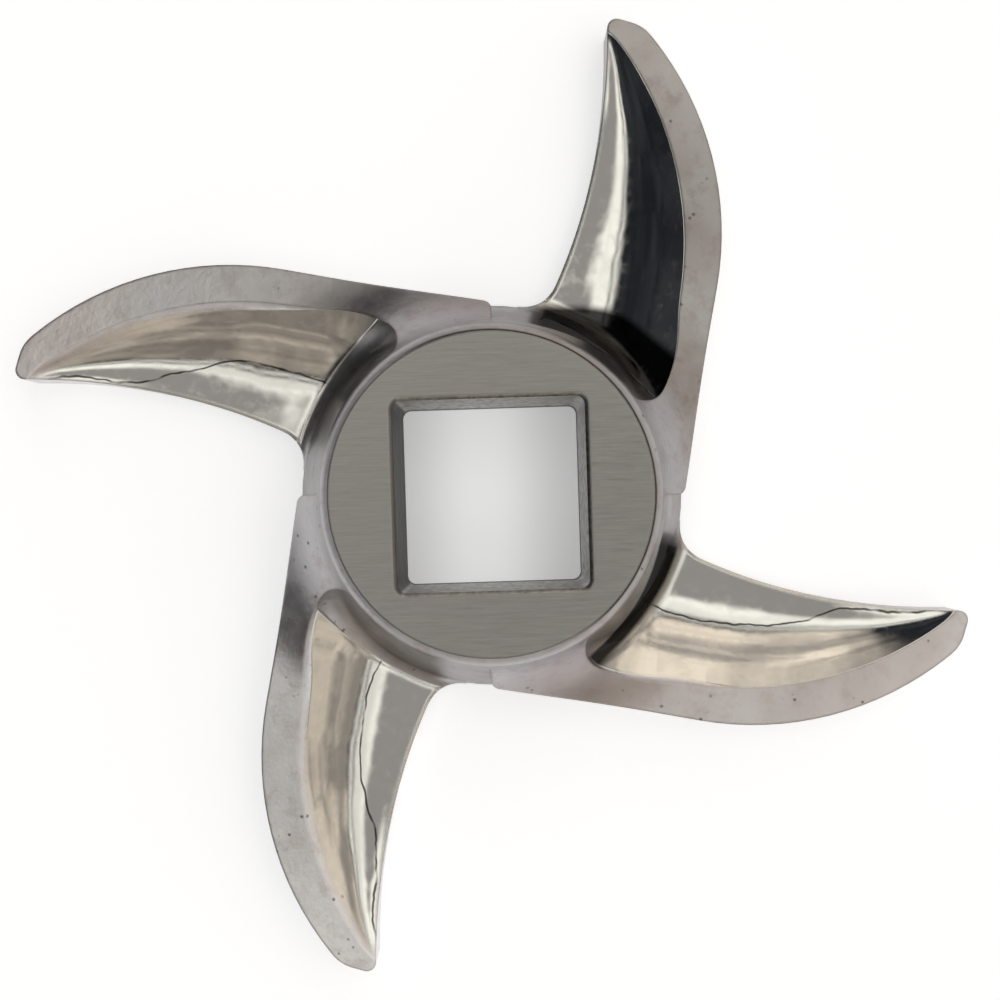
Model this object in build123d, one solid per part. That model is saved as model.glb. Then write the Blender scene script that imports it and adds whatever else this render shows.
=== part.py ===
from build123d import *
import os
from math import cos, hypot, radians, sin, sqrt, tan

# A four-wing meat grinder knife, cast in one piece. Millimetres and degrees.
# The origin is on the shaft axis, in the ground face that runs on the hole plate. +Z points to the
# ground back face of the hub, and the flats of the drive hole lie along X and Y. One wing is drawn
# pointing to +Y and curling towards -X, and the others are turned copies of it.

# Whole knife
wing_count = 4
wing_turn = -1.8             # wings against the flats of the drive hole
tip_radius = 46.9            # the tips are ground to this circle
thickness = 17.0             # plate face to back face

# Hub
hub_face_radius = 14.46      # ground ring on the back
hub_face_rise = 0.35         # the ring stands this proud of the cast shoulder
shoulder_radius = 15.4       # end of the rounded shoulder, top of the steep flank
shoulder_drop = 1.6          # back face down to there
hub_foot_radius = 18.4       # hub between the wings, upright from the plate face to the lip's height
square_bore = 17.0           # across flats
bore_corner_radius = 0.8
bore_edge_break = 0.3        # on the back face

# Plan of a wing
trailing_offset = 17.36      # straight part of the trailing side, from the shaft axis
trailing_rake = 10.4         # its lean away from the radial line
trailing_curl = 30.0         # radius of the curled part beyond it
curl_inset = 27.0            # tip circle to the start of the curl, along the trailing side
curl_turn = 120.0            # drawn well past the tip circle
root_corner_radius = 0.9
tip_trailing_radius = 3.5
tip_leading_radius = 0.9
tip_width = 3.4
leading_radius = 56.0        # hollow cutting side
leading_inset = 3.8          # tip circle to the middle of that circle, along Y
web_radius = 3.5             # corner between the cutting side and the hub

# Back of a wing: a hollow blend out of the hub's shoulder, then a shallow cone to the tip
blend_radius = 12.5
blend_slope = 70.0
back_slope = 5.0

# Scoop in the back of a wing. Its sections stand square to the trailing side. The floor is level beside
# the hub and then climbs to the scoop's point, and a hollow wall rises out of it to the land.
lip_height = 2.3             # metal left under the floor at the cutting edge
land_width_root = 3.3        # flat left between the scoop and the trailing side
land_width_middle = 3.5
land_width_tip = 2.5
wall_slope = 57.0            # of the wall, where it meets the land
scoop_turn = 55.9            # from the start of the curl to the scoop's point, round the curl's middle
inner_end_overlap = 3.3      # its round inner end's middle, short of the hub's foot along the trailing side
inner_end_turn = 125.0       # how far the wall turns round that middle
floor_corner_radius = 1.0    # of the floor's inner corner, in plan
scoop_sections = 9
least_wall = 0.3             # keeps the wall's section whole past the scoop's point
flank_fillet = 1.7           # between the scoop and the hub
clear_in = 8.0               # from the curl's middle, beyond the cutting side

overrun = 1.6                # how far cuts and blanks run on past what they meet
touching = 0.001

shoulder_height = thickness - shoulder_drop
trailing_straight = tip_radius - curl_inset
inner_end_inset = trailing_straight - hub_foot_radius + inner_end_overlap
leading_center_y = tip_radius - leading_inset
straight_start_x = trailing_offset / cos(radians(trailing_rake))
straight_end_x = straight_start_x + trailing_straight * sin(radians(trailing_rake))
straight_end_y = trailing_straight * cos(radians(trailing_rake))
curl_center_x = straight_end_x - trailing_curl * cos(radians(trailing_rake))
curl_center_y = straight_end_y + trailing_curl * sin(radians(trailing_rake))
blend_center_r = shoulder_radius + blend_radius * sin(radians(blend_slope))
blend_center_z = shoulder_height + blend_radius * cos(radians(blend_slope))
blend_end_r = blend_center_r - blend_radius * sin(radians(back_slope))
blend_end_z = blend_center_z - blend_radius * cos(radians(back_slope))


def back_height(radius):
    """Height of a wing's back, above the plate face, at a distance from the shaft axis."""
    if radius < blend_end_r:
        return blend_center_z - sqrt(blend_radius**2 - (blend_center_r - radius) ** 2)
    return blend_end_z - (radius - blend_end_r) * tan(radians(back_slope))


def between(start, middle, end, share):
    """Smooth change of a size along the wing, through its three values."""
    return (
        start * (1 - share) * (1 - 2 * share)
        + middle * 4 * share * (1 - share)
        + end * share * (2 * share - 1)
    )


def curl_plane(turn):
    """Upright plane square to the trailing side: X away from the curl's middle, and Y upwards."""
    outward = radians(turn - trailing_rake)
    towards_hub = (sin(outward), -cos(outward), 0)
    return Plane((curl_center_x, curl_center_y, 0), (cos(outward), sin(outward), 0), towards_hub)


def floor_height(share):
    """The floor climbs from the lip's height to the back of the wing at the scoop's point."""
    point = curl_plane(scoop_turn).from_local_coords((trailing_curl - land_width_tip, 0))
    return lip_height + (back_height(hypot(point.X, point.Y)) - lip_height) * share**3


def wall_top(share):
    """Edge between the wall and the land, from the curl's middle."""
    return trailing_curl - between(land_width_root, land_width_middle, land_width_tip, share)


def wall_radius(share):
    """The wall is an arc that starts level in the floor, and has the wall's slope where it meets the land."""
    top = curl_plane(scoop_turn * share).from_local_coords((wall_top(share), 0))
    rise = max(back_height(hypot(top.X, top.Y)) - floor_height(share), least_wall)
    return rise / (1 - cos(radians(wall_slope)))


def floor_edge(share):
    """Edge between the floor and the wall, from the curl's middle."""
    return wall_top(share) - wall_radius(share) * sin(radians(wall_slope))


def scoop_section(share, inside):
    """Section of the scoop: a floor that starts inside, and a wall that goes on until it is upright."""
    floor = Line((inside, floor_height(share)), (floor_edge(share), floor_height(share)))
    wall = JernArc(floor @ 1, floor % 1, wall_radius(share), 90)
    rest = Polyline(wall @ 1, ((wall @ 1).X, thickness), (inside, thickness), floor @ 0)
    return curl_plane(scoop_turn * share) * make_face(floor + wall + rest)


def hub_body():
    """Hub without its hole: ground ring, rounded shoulder, steep flank and upright foot."""
    ring_foot = (hub_face_radius, thickness - hub_face_rise)
    flank = Line((hub_foot_radius, lip_height), (shoulder_radius, shoulder_height))
    shoulder = TangentArc(flank @ 1, ring_foot, tangent=flank % 1)
    ring = Polyline(ring_foot, (hub_face_radius, thickness), (0, thickness), (0, 0))
    foot = Polyline((0, 0), (hub_foot_radius, 0), flank @ 0)
    return revolve(Plane.XZ * make_face(flank + shoulder + ring + foot), Axis.Z)


def back_body():
    """Everything under the surface that the wings' backs lie on."""
    reach = tip_radius + overrun
    outline = Polyline((0, shoulder_height), (0, 0), (reach, 0), (reach, back_height(reach)))
    outline += Line((reach, back_height(reach)), (blend_end_r, blend_end_z))
    middle = radians((blend_slope + back_slope) / 2)
    outline += ThreePointArc(
        (blend_end_r, blend_end_z),
        (blend_center_r - blend_radius * sin(middle), blend_center_z - blend_radius * cos(middle)),
        (shoulder_radius, shoulder_height),
    )
    outline += Line((shoulder_radius, shoulder_height), (0, shoulder_height))
    return revolve(Plane.XZ * make_face(outline), Axis.Z)


def corners_at(plan, radius):
    """Corners of a plan on one circle round the shaft, from the cutting side to the trailing side."""
    on_circle = plan.vertices().filter_by(lambda corner: abs(hypot(corner.X, corner.Y) - radius) < touching)
    return on_circle.sort_by(Axis.X)


def web_plan(sharp):
    """The rounded corner between a wing's cutting side and the hub, with the hub's metal behind it."""
    crossed = sharp + Circle(hub_foot_radius)
    rounded = fillet(corners_at(crossed, hub_foot_radius)[0], web_radius)
    meeting = Vector(corners_at(rounded, hub_foot_radius)[0])
    wedge = make_face(Polyline((0, 0), meeting * 2, (straight_end_x, straight_end_y), (0, 0)))
    return rounded & wedge


def wing_plan():
    """Outline of one wing on the plate face, with its root inside the hub."""
    straight = Line((straight_start_x, 0), (straight_end_x, straight_end_y))
    curl = JernArc(straight @ 1, straight % 1, trailing_curl, curl_turn)
    outside = make_face(straight + curl + Polyline(curl @ 1, ((curl @ 1).X, 0), straight @ 0))
    blank = outside & Circle(tip_radius)
    leading_center_x = corners_at(blank, tip_radius)[-1].X - tip_width - leading_radius
    plan = blank - Pos(leading_center_x, leading_center_y) * Circle(leading_radius)
    plan = fillet(plan.vertices().sort_by_distance((straight_start_x, 0))[0], root_corner_radius)
    plan = fillet(corners_at(plan, tip_radius)[0], tip_leading_radius)
    plan = fillet(corners_at(plan, tip_radius)[-1], tip_trailing_radius)
    return plan + web_plan(plan)


def hub_cone():
    """The hub's flank, carried on through the whole height of the knife."""
    lean = (hub_foot_radius - shoulder_radius) / (shoulder_height - lip_height)
    foot = (hub_foot_radius + lean * lip_height, 0)
    top = (hub_foot_radius - lean * (thickness - lip_height), thickness)
    return revolve(Plane.XZ * make_face(Polyline((0, 0), foot, top, (0, thickness), (0, 0))), Axis.Z)


def scoop_cutter():
    """What the scoop takes out of a wing, with a fillet where it stops at the hub's flank."""
    shares = [number / (scoop_sections - 1) for number in range(scoop_sections + 1)]
    climb = loft([scoop_section(share, clear_in) for share in shares])
    start = curl_plane(0)
    level = extrude(scoop_section(0, clear_in), inner_end_inset, dir=start.z_dir)
    corner = floor_edge(0) - floor_corner_radius
    turning_axis = Axis(start.from_local_coords((corner, 0, inner_end_inset)), (0, 0, -1))
    end_section = Pos(start.z_dir * inner_end_inset) * scoop_section(0, corner)
    inner_end = revolve(end_section, turning_axis, revolution_arc=inner_end_turn)
    far_side = inner_end_inset + (corner - clear_in) * tan(radians(180 - inner_end_turn))
    far_corners = ((corner, inner_end_inset), (clear_in, far_side))
    floor_plane = Plane((curl_center_x, curl_center_y, lip_height), start.x_dir, (0, 0, -1))
    floor_face = floor_plane * make_face(Polyline((clear_in, 0), (corner, 0), *far_corners, (clear_in, 0)))
    inner_floor = extrude(floor_face, thickness - lip_height, dir=(0, 0, 1))
    whole = climb + level + inner_end + inner_floor - hub_cone()
    flank = whole.faces().filter_by(GeomType.CONE)[0]
    return fillet(flank.edges().filter_by_position(Axis.Z, lip_height, lip_height), flank_fillet)


def wing():
    """One wing, cut off where it meets the hub."""
    return (extrude(wing_plan(), thickness) & back_body()) - scoop_cutter() - hub_body()


def drive_hole():
    """Square through hole with rounded corners, and its broken edge on the back face."""
    square = RectangleRounded(square_bore, square_bore, bore_corner_radius)
    hole = extrude(square, thickness)
    mouth = loft(
        [
            Pos(0, 0, thickness - bore_edge_break) * square,
            Pos(0, 0, thickness) * offset(square, bore_edge_break),
        ]
    )
    return hole + mouth


def knife():
    """The whole casting: the hub carries the wings, and the drive hole goes through it."""
    one_wing = wing()
    body = hub_body()
    for number in range(wing_count):
        body += Rot(0, 0, wing_turn + number * 360 / wing_count) * one_wing
    return body - drive_hole()


os.makedirs("parts", exist_ok=True)
grinder_knife = knife()
export_step(grinder_knife, "parts/grinder_knife.step")
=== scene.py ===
from math import cos, radians, sin

import bpy
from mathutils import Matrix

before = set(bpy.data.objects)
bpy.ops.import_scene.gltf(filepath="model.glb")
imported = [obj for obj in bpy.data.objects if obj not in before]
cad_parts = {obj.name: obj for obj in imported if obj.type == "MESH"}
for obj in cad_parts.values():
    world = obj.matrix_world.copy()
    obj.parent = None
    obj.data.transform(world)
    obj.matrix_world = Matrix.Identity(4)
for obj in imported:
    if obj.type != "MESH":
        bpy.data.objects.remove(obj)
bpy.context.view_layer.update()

# ---- The knife. One stainless casting: the scoops are polished bright, the back of the hub is ground
# flat, the drive hole is left rough from the mould, and the rest has the dull skin of tumbling.
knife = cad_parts["grinder_knife"]
MM = 0.001


def add_node(tree, kind, inputs=None, **settings):
    """Add a shader node, set it up, and link or fill its sockets."""
    made = tree.nodes.new("ShaderNode" + kind)
    for name, value in settings.items():
        setattr(made, name, value)
    for socket, value in (inputs or {}).items():
        if isinstance(value, bpy.types.NodeSocket):
            tree.links.new(value, made.inputs[socket])
        else:
            made.inputs[socket].default_value = value
    return made


def calc(tree, operation, *values):
    return add_node(tree, "Math", dict(enumerate(values)), operation=operation).outputs[0]


def product(tree, first, *others):
    """All the values multiplied together."""
    for value in others:
        first = calc(tree, "MULTIPLY", first, value)
    return first


def distance(tree, along_x, along_y):
    """Length of the straight line that runs this far along X and this far along Y."""
    squares = [calc(tree, "MULTIPLY", run, run) for run in (along_x, along_y)]
    return calc(tree, "SQRT", calc(tree, "ADD", *squares))


def from_flats(tree, x, y):
    """Distance from the shaft's axis, measured square to the nearest flat of the drive hole."""
    return calc(tree, "MAXIMUM", calc(tree, "ABSOLUTE", x), calc(tree, "ABSOLUTE", y))


def step_up(tree, value, start, end, low=0.0, high=1.0):
    """Smooth change from low to high while the value goes from start to end."""
    sockets = {0: value, 1: start, 2: end, 3: low, 4: high}
    return add_node(tree, "MapRange", sockets, interpolation_type="SMOOTHSTEP").outputs[0]


def band(tree, value, start, full_from, full_to, end):
    """One where the value is between the two middle marks, nothing beyond the outer marks."""
    return product(tree, step_up(tree, value, start, full_from), step_up(tree, value, end, full_to))


def mix_colour(tree, share, below, above, blend="MIX"):
    """Mix two colours, each of them a socket or plain red, green and blue."""
    below, above = [(*colour, 1) if isinstance(colour, tuple) else colour for colour in (below, above)]
    sockets = {0: share, 6: below, 7: above}
    return add_node(tree, "Mix", sockets, data_type="RGBA", blend_type=blend).outputs[2]


def mix_value(tree, share, below, above):
    return add_node(tree, "Mix", {0: share, 2: below, 3: above}, data_type="FLOAT").outputs[0]


def noise(tree, place, scale, detail=2.0, roughness=0.5, stretch=(1, 1, 1), turned=0.0):
    moved = add_node(tree, "Mapping", {"Vector": place, "Scale": stretch, "Rotation": (0, 0, turned)})
    sockets = {"Vector": moved.outputs[0], "Scale": scale, "Detail": detail, "Roughness": roughness}
    return add_node(tree, "TexNoise", sockets).outputs[0]


steel = bpy.data.materials.new("steel")
steel.use_nodes = True
tree = steel.node_tree
bsdf = tree.nodes["Principled BSDF"]
place = add_node(tree, "TexCoord").outputs["Object"]
x, y, z = add_node(tree, "SeparateXYZ", {0: place}).outputs
facing = add_node(tree, "NewGeometry").outputs["True Normal"]
up = add_node(tree, "SeparateXYZ", {0: facing}).outputs[2]
from_axis = distance(tree, x, y)

# height of the wings' backs at this distance from the shaft: a hollow blend that starts at the hub's
# shoulder, then a shallow cone
shoulder_radius, shoulder_height = 15.4 * MM, 15.4 * MM
blend_radius = 12.5 * MM
blend_slope, back_slope, back_fall = radians(70), radians(5), 0.0875
blend_center_r = shoulder_radius + blend_radius * sin(blend_slope)
blend_center_z = shoulder_height + blend_radius * cos(blend_slope)
blend_end = blend_radius * sin(back_slope)
across = calc(tree, "MAXIMUM", calc(tree, "SUBTRACT", blend_center_r, from_axis), blend_end)
hollow = calc(tree, "SUBTRACT", blend_radius**2, calc(tree, "MULTIPLY", across, across))
hollow = calc(tree, "SQRT", calc(tree, "MAXIMUM", hollow, 0.0))
beyond = calc(tree, "MAXIMUM", calc(tree, "SUBTRACT", from_axis, blend_center_r - blend_end), 0.0)
back = calc(tree, "SUBTRACT", blend_center_z, hollow)
back = calc(tree, "SUBTRACT", back, product(tree, beyond, back_fall))
under_back = calc(tree, "SUBTRACT", back, z)

# place within one wing: the angle from its quarter's start, and X and Y with the wing along Y
wing_turn = -1.8
turned_by = calc(tree, "SUBTRACT", calc(tree, "DEGREES", calc(tree, "ARCTAN2", y, x)), wing_turn)
in_quarter = calc(tree, "FLOORED_MODULO", turned_by, 90.0)
quarter_angle = calc(tree, "RADIANS", in_quarter)
wing_x = product(tree, from_axis, calc(tree, "COSINE", quarter_angle))
wing_y = product(tree, from_axis, calc(tree, "SINE", quarter_angle))

# the polish covers each scoop and, on the two wings at +X, the hub's flank beside it, closer in at the
# lip than at the land; on the other two wings it starts past the flank and is worn at its edge
start_at_land, start_at_lip, start_past_flank = 17.3 * MM, 15.7 * MM, 19.2 * MM
polish_start = step_up(tree, in_quarter, 35.0, 80.0, start_at_land, start_at_lip)
polish_start = mix_value(tree, step_up(tree, x, 3.0 * MM, -1.0 * MM), polish_start, start_past_flank)
beside_hub = step_up(tree, calc(tree, "SUBTRACT", from_axis, polish_start), -0.1 * MM, 0.25 * MM)
over_bay = band(tree, in_quarter, 15.0, 20.0, 73.0, 81.0)
past_flank = step_up(tree, from_axis, 18.8 * MM, 19.6 * MM)
crisp_edge, worn_away = 0.16 * MM, 1.2 * MM
worn_side = step_up(tree, calc(tree, "ADD", x, y), 6.0 * MM, -6.0 * MM)
polish_edge = calc(tree, "ADD", product(tree, worn_side, worn_away), crisp_edge)
scooped = product(tree, step_up(tree, up, 0.1, 0.2), step_up(tree, under_back, 0.03 * MM, polish_edge),
                  product(tree, beside_hub, calc(tree, "MAXIMUM", over_bay, past_flank)))

# the ground faces are the ring on the hub's back, at 17 mm, and the whole plate face; the walls of the
# drive hole are 8.5 mm from the axis
in_face = product(tree, step_up(tree, z, 16.6 * MM, 16.75 * MM), step_up(tree, up, 0.6, 0.9))
in_face = calc(tree, "MAXIMUM", in_face, step_up(tree, up, -0.8, -0.95))
near_hole = step_up(tree, from_flats(tree, x, y), 9.1 * MM, 8.9 * MM)
in_hole = product(tree, near_hole, step_up(tree, up, 0.9, 0.5))

# colour of the dull skin: warm grey, mottled and blotched with brown, darker near the hub and lighter
# toward the tips, with painted light toward the lower left and painted shade toward the upper right (+X
# and +Y)
uneven = noise(tree, place, 420.0, 3.0)
mottling = noise(tree, place, 130.0, 5.0, 0.62)
patches = noise(tree, place, 38.0, 3.0, 0.55)
blotches = noise(tree, place, 480.0, 4.0, 0.7)
dull = mix_colour(tree, step_up(tree, mottling, 0.36, 0.66), (0.42, 0.405, 0.40), (0.53, 0.52, 0.515))
dull = mix_colour(tree, step_up(tree, patches, 0.48, 0.66, 0.0, 0.7), dull, (0.36, 0.315, 0.30))
dull = mix_colour(tree, step_up(tree, blotches, 0.48, 0.68, 0.0, 0.45), dull, (0.33, 0.275, 0.26))
near_hub = step_up(tree, from_axis, 27.0 * MM, 15.5 * MM, 0.0, 0.75)
dull = mix_colour(tree, near_hub, dull, (0.66, 0.64, 0.63), "MULTIPLY")
# painted shade on the steep flank beside the hub
painted_flank_shade = product(tree, step_up(tree, up, 0.6, 0.2), step_up(tree, from_axis, 19.5 * MM, 18.8 * MM))
dull = mix_colour(tree, painted_flank_shade, dull, (0.62, 0.61, 0.60), "MULTIPLY")
# painted light toward the lower left, blended into painted shade toward the upper right
painted_light_lower_left = mix_colour(tree, 1.0, dull, (1.48, 1.52, 1.60), "MULTIPLY")
painted_shade_upper_right = mix_colour(tree, 1.0, dull, (0.79, 0.79, 0.81), "MULTIPLY")
to_upper_right = calc(tree, "ADD", y, product(tree, x, 0.6))
dull = mix_colour(tree, step_up(tree, to_upper_right, -20 * MM, 45 * MM), painted_light_lower_left, painted_shade_upper_right)
toward_tip = step_up(tree, from_axis, 34.0 * MM, 45.0 * MM)
dull = mix_colour(tree, toward_tip, dull, (1.28, 1.28, 1.28), "MULTIPLY")

# a few dark pits, and a painted shade line round the right side of the hub's ring
pits = add_node(tree, "TexVoronoi", {"Vector": place, "Scale": 900.0}).outputs["Distance"]
some_of_them = step_up(tree, noise(tree, place, 260.0, 2.0), 0.55, 0.62)
pitted = product(tree, step_up(tree, pits, 0.2, 0.08), some_of_them)
dull = mix_colour(tree, product(tree, pitted, 0.7), dull, (0.10, 0.085, 0.08))
# painted black, used for painted shade and painted dark reflection lines
painted_black = (0.02, 0.018, 0.016)
# painted shade line round the right side of the hub's ring
painted_rim_shade = step_up(tree, from_axis, 14.75 * MM, 14.55 * MM)
painted_rim_shade = product(tree, painted_rim_shade, step_up(tree, z, 16.9 * MM, 16.7 * MM))
right_side = step_up(tree, calc(tree, "ADD", x, product(tree, y, 0.6)), -4 * MM, 5 * MM)
dull = mix_colour(tree, product(tree, painted_rim_shade, right_side, 0.93), dull, painted_black)

# grinding lines on the flat faces; a speckled wall in the drive hole, with painted shade that makes it
# darkest on its left and low down
lines = noise(tree, place, 1.0, 5.0, 0.8, stretch=(260, 7500, 400), turned=0.04)
ground = mix_colour(tree, step_up(tree, lines, 0.25, 0.75), (0.255, 0.25, 0.245), (0.33, 0.325, 0.32))
speckle = noise(tree, place, 1500.0, 3.0, 0.7)
rough_cast = mix_colour(tree, step_up(tree, speckle, 0.35, 0.6), (0.30, 0.29, 0.27), (0.62, 0.61, 0.59))
# painted shade on the drive hole's wall, on its left and low down
painted_hole_shade = calc(tree, "MAXIMUM", step_up(tree, x, -8.0 * MM, -8.3 * MM, 0.0, 0.97),
             step_up(tree, z, 3.0 * MM, 1.2 * MM, 0.0, 0.85))
rough_cast = mix_colour(tree, painted_hole_shade, rough_cast, (0.03, 0.026, 0.023))

# painted dark reflection: the polish is painted black beside the hub on the two wings at +X, over more
# width on the upper one
upper_wing = product(tree, step_up(tree, x, 2.0 * MM, 6.0 * MM), step_up(tree, y, -2.0 * MM, 4.0 * MM))
wider_by = product(tree, upper_wing, step_up(tree, in_quarter, 78.0, 52.0, 0.0, 2.6 * MM))
past_dark_reflection = calc(tree, "SUBTRACT", calc(tree, "SUBTRACT", from_axis, 18.7 * MM), wider_by)
painted_dark_reflection = product(tree, step_up(tree, past_dark_reflection, 0.7 * MM, -0.3 * MM, 0.0, 0.97),
                  step_up(tree, x, -1.0 * MM, 4.0 * MM))
bright = mix_colour(tree, painted_dark_reflection, (0.60, 0.595, 0.58), (0.012, 0.012, 0.012))

# a thin painted dark reflection line along the crease where the wall of the scoop meets its floor, on all
# but the top wing;
# it wavers along a circle round the middle of the wing's curl, which widens toward the tip
curl_middle_x, curl_middle_y = -8.265 * MM, 24.99 * MM
from_curl = distance(tree, calc(tree, "SUBTRACT", wing_x, curl_middle_x),
                     calc(tree, "SUBTRACT", wing_y, curl_middle_y))
waver = product(tree, calc(tree, "SUBTRACT", noise(tree, place, 170.0, 3.0, 0.6), 0.5), 1.5 * MM)
crease_line_at = calc(tree, "ADD", step_up(tree, wing_y, 32.0 * MM, 46.0 * MM, 21.0 * MM, 27.0 * MM), waver)
off_crease_line = calc(tree, "ABSOLUTE", calc(tree, "SUBTRACT", from_curl, crease_line_at))
not_top = step_up(tree, calc(tree, "SUBTRACT", y, calc(tree, "ABSOLUTE", x)), 4.0 * MM, -4.0 * MM)
# painted dark reflection line along the crease of the scoop
painted_crease_line = product(tree, step_up(tree, off_crease_line, 0.13 * MM, 0.04 * MM), product(tree, not_top, scooped),
               step_up(tree, uneven, 0.3, 0.5, 0.35, 0.9))
bright = mix_colour(tree, painted_crease_line, bright, painted_black)

colour = mix_colour(tree, scooped, dull, bright)
colour = mix_colour(tree, in_face, colour, ground)
colour = mix_colour(tree, in_hole, colour, rough_cast)

# roughness: the polish is rubbed dull beside the hub's flank on the two wings at -X
dull_rough = step_up(tree, mottling, 0.3, 0.7, 0.34, 0.52)
bright_rough = step_up(tree, noise(tree, place, 900.0, 4.0, 0.7), 0.4, 0.68, 0.045, 0.16)
ground_rough = step_up(tree, lines, 0.3, 0.7, 0.28, 0.42)
rubbed_rough, cast_rough = 0.33, 0.55
rubbed = product(tree, step_up(tree, from_axis, 19.6 * MM, 18.6 * MM), step_up(tree, x, 2 * MM, -2 * MM))
rough = mix_value(tree, scooped, dull_rough, mix_value(tree, rubbed, bright_rough, rubbed_rough))
rough = mix_value(tree, in_face, rough, ground_rough)
rough = mix_value(tree, in_hole, rough, cast_rough)

# relief in mm: soft waves under the polish, grain on the dull skin, grinding lines, and the mould's grain
waves = noise(tree, place, 120.0, 1.0, 0.4)
ripple = noise(tree, place, 420.0, 1.0, 0.4)
grain = noise(tree, place, 2600.0, 3.0, 0.6)
polish_relief = calc(tree, "ADD", product(tree, waves, 0.20), product(tree, ripple, 0.02))
skin_relief = calc(tree, "ADD", product(tree, grain, 0.018), product(tree, uneven, 0.05))
skin_relief = calc(tree, "SUBTRACT", skin_relief, product(tree, pitted, 0.03))
skin_relief = mix_value(tree, in_face, skin_relief, product(tree, lines, 0.008))
skin_relief = mix_value(tree, in_hole, skin_relief, product(tree, uneven, 0.25))
not_scooped = calc(tree, "SUBTRACT", 1.0, scooped)
relief = calc(tree, "ADD", product(tree, scooped, polish_relief), product(tree, not_scooped, skin_relief))

# edges are tumbled round, most of all along the cutting lips, and the scoop's wall is a little less
# steep just under the land
edge_round, lip_round = 0.35 * MM, 0.7 * MM
on_lip = product(tree, scooped, step_up(tree, z, 4.0 * MM, 3.0 * MM))
rounded = add_node(tree, "Bevel", {"Radius": mix_value(tree, on_lip, edge_round, lip_round)}, samples=6)
side_x, side_y, rise = add_node(tree, "SeparateXYZ", {0: rounded.outputs[0]}).outputs
least_rise = 1.07
on_wall = product(tree, scooped, calc(tree, "SUBTRACT", 1.0, rubbed))
lean = distance(tree, side_x, side_y)
rise = calc(tree, "MAXIMUM", rise, product(tree, lean, least_rise, on_wall))
eased = add_node(tree, "CombineXYZ", {0: side_x, 1: side_y, 2: rise}).outputs[0]
eased = add_node(tree, "VectorMath", {0: eased}, operation="NORMALIZE").outputs[0]
bump = add_node(tree, "Bump", {"Height": relief, "Strength": 1.0, "Distance": MM, "Normal": eased})

# the painted dark reflection beside the hub also tints the metal's reflection black
edge_tint = mix_colour(tree, product(tree, painted_dark_reflection, scooped), (1, 1, 1), (0.02, 0.02, 0.02))
sockets = {"Base Color": colour, "Roughness": rough, "Normal": bump.outputs[0], "Specular Tint": edge_tint}
for socket, value in sockets.items():
    tree.links.new(value, bsdf.inputs[socket])
bsdf.inputs["Metallic"].default_value = 1.0
knife.material_slots[0].material = steel

# ---- White paper under the knife. It keeps the knife's soft shadow, and it looks white to the eye and
# in the metal's reflections, apart from inside the drive hole, where painted shade darkens it at the
# sides.
bpy.ops.mesh.primitive_plane_add(size=3.0, location=(0, 0, 0))
floor = bpy.context.object
floor.name = "floor"
paper = bpy.data.materials.new("paper")
paper.use_nodes = True
tree = paper.node_tree
paper_bsdf = tree.nodes["Principled BSDF"]
paper_bsdf.inputs["Base Color"].default_value = (0.80, 0.825, 0.885, 1)
paper_bsdf.inputs["Roughness"].default_value = 1.0
paper_bsdf.inputs["Specular IOR Level"].default_value = 0.0
rays = add_node(tree, "LightPath")
seen = calc(tree, "MAXIMUM", rays.outputs["Is Camera Ray"], rays.outputs["Is Glossy Ray"])
seen = calc(tree, "MAXIMUM", seen, rays.outputs["Is Transmission Ray"])
place = add_node(tree, "TexCoord").outputs["Object"]
paper_x, paper_y, _ = add_node(tree, "SeparateXYZ", {0: place}).outputs
in_bore = step_up(tree, from_flats(tree, paper_x, paper_y), 10.0 * MM, 9.0 * MM)
brightest_x, half_bore = -0.8 * MM, 9.0 * MM
to_side = calc(tree, "ABSOLUTE", calc(tree, "SUBTRACT", paper_x, brightest_x))
to_side = calc(tree, "DIVIDE", to_side, half_bore)
# painted shade at the sides of the drive hole, taken off the paper's glow
painted_bore_shade = product(tree, in_bore, step_up(tree, to_side, 0.1, 1.0, 0.12, 0.42))
paper_glow = 0.58
glow = product(tree, product(tree, seen, paper_glow), calc(tree, "SUBTRACT", 1.0, painted_bore_shade))
paper_bsdf.inputs["Emission Color"].default_value = (1, 1, 1, 1)
tree.links.new(glow, paper_bsdf.inputs["Emission Strength"])
floor.data.materials.append(paper)

# ---- Camera: straight above, turned so that the flats of the drive hole lean by 1.8 degrees.
turn = radians(-1.8)
sight = bpy.data.cameras.new("sight")
camera = bpy.data.objects.new("camera", sight)
bpy.context.scene.collection.objects.link(camera)
off_x, off_y, height = 0.79 * MM, -0.48 * MM, 157.3 * MM
camera.location = (off_x * cos(turn) - off_y * sin(turn), off_x * sin(turn) + off_y * cos(turn), height)
camera.rotation_euler = (0, 0, turn)
sight.sensor_width = 36
sight.lens = 57.46
sight.clip_start = 0.01
bpy.context.scene.camera = camera

# ---- The room: a bright ceiling with a grey patch overhead, and four walls of which the left is dark.
# The walls are laid out by the angle round from the camera's right, and the edge where they meet the
# ceiling by the angle from straight up.
world = bpy.data.worlds.new("room")
bpy.context.scene.world = world
world.use_nodes = True
tree = world.node_tree
sky = tree.nodes["Background"]
toward = add_node(tree, "TexCoord").outputs["Generated"]
moved = add_node(tree, "Mapping", {"Vector": toward, "Rotation": (0, 0, -turn)}).outputs[0]
east, north, high = add_node(tree, "SeparateXYZ", {0: moved}).outputs
from_top = calc(tree, "DEGREES", calc(tree, "ARCCOSINE", high))
round_way = calc(tree, "DEGREES", calc(tree, "ARCTAN2", north, east))


def colours(tree, value, low, high, stops):
    """Colours laid along a value that goes from low to high."""
    share = add_node(tree, "MapRange", {0: value, 1: low, 2: high}).outputs[0]
    made = add_node(tree, "ValToRGB", {0: share})
    ramp = made.color_ramp
    while len(ramp.elements) < len(stops):
        ramp.elements.new(0.5)
    for element, (at, colour) in zip(ramp.elements, stops):
        element.position = (at - low) / (high - low)
        element.color = (*colour, 1)
    return made.outputs[0]


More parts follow.
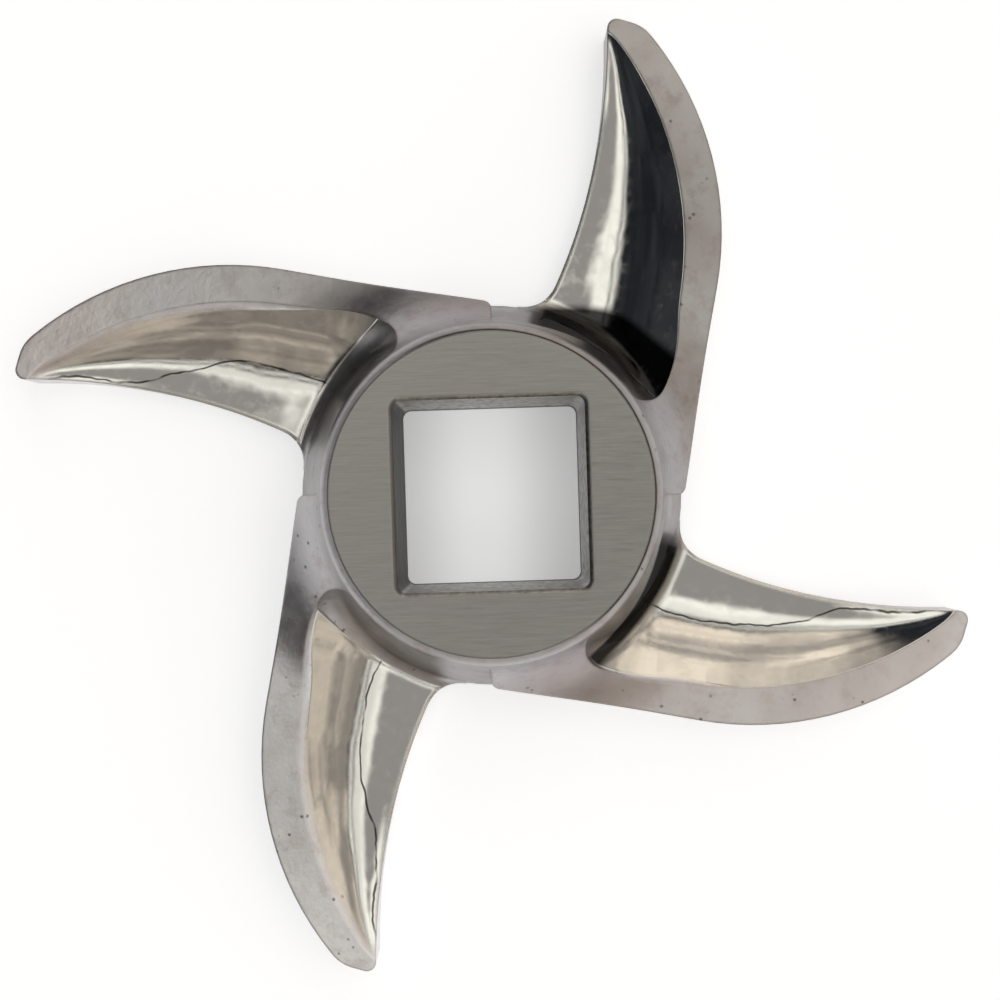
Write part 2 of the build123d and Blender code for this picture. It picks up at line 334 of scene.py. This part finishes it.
dark, warm = (0.03, 0.033, 0.038), (0.43, 0.385, 0.33)
beige, cream = (0.61, 0.55, 0.47), (0.85, 0.77, 0.66)
walls = colours(tree, round_way, -180.0, 180.0, (
    (-180, dark), (-140, dark), (-115, warm), (-60, warm), (-25, beige), (50, beige), (70, cream),
    (94, cream), (106, dark), (180, dark)))
unlike = noise(tree, moved, 3.5, 3.0, 0.6)
lit = mix_colour(tree, step_up(tree, unlike, 0.35, 0.68), (0.62, 0.62, 0.64), (1.7, 1.66, 1.6))
walls = mix_colour(tree, 1.0, walls, lit, "MULTIPLY")

# the ceiling, with the grey patch a little off straight up
ceiling, grey = (1.3, 1.28, 1.17), (0.44, 0.42, 0.40)
lit = mix_colour(tree, step_up(tree, unlike, 0.35, 0.65), (0.8, 0.8, 0.8), (1.2, 1.2, 1.2))
streaked = mix_colour(tree, 1.0, ceiling, lit, "MULTIPLY")
grey_east, grey_north = 0.06, -0.04
aside = distance(tree, calc(tree, "SUBTRACT", east, grey_east), calc(tree, "SUBTRACT", north, grey_north))
over = mix_colour(tree, step_up(tree, aside, 0.20, 0.29), grey, streaked)

# the uneven line where it meets the walls, further out to the right, with a grey beam and a dark cornice
wobble = product(tree, calc(tree, "SUBTRACT", noise(tree, moved, 3.0, 2.0), 0.5), 10.0)
eastward = calc(tree, "MAXIMUM", calc(tree, "COSINE", calc(tree, "RADIANS", round_way)), 0.0)
edge = calc(tree, "SUBTRACT", calc(tree, "ADD", from_top, wobble), product(tree, eastward, 12.0))
beam = band(tree, edge, 22.6, 23.4, 25.4, 26.2)
over = mix_colour(tree, product(tree, beam, 0.9), over, (0.20, 0.20, 0.19))
room = mix_colour(tree, step_up(tree, edge, 28.5, 31.0), over, walls)
cornice = band(tree, edge, 27.8, 29.0, 31.0, 32.5)
room = mix_colour(tree, product(tree, cornice, 0.75), room, (0.04, 0.04, 0.04))
tree.links.new(room, sky.inputs["Color"])
sky.inputs["Strength"].default_value = 1.0

bpy.context.scene.view_settings.view_transform = "Standard"
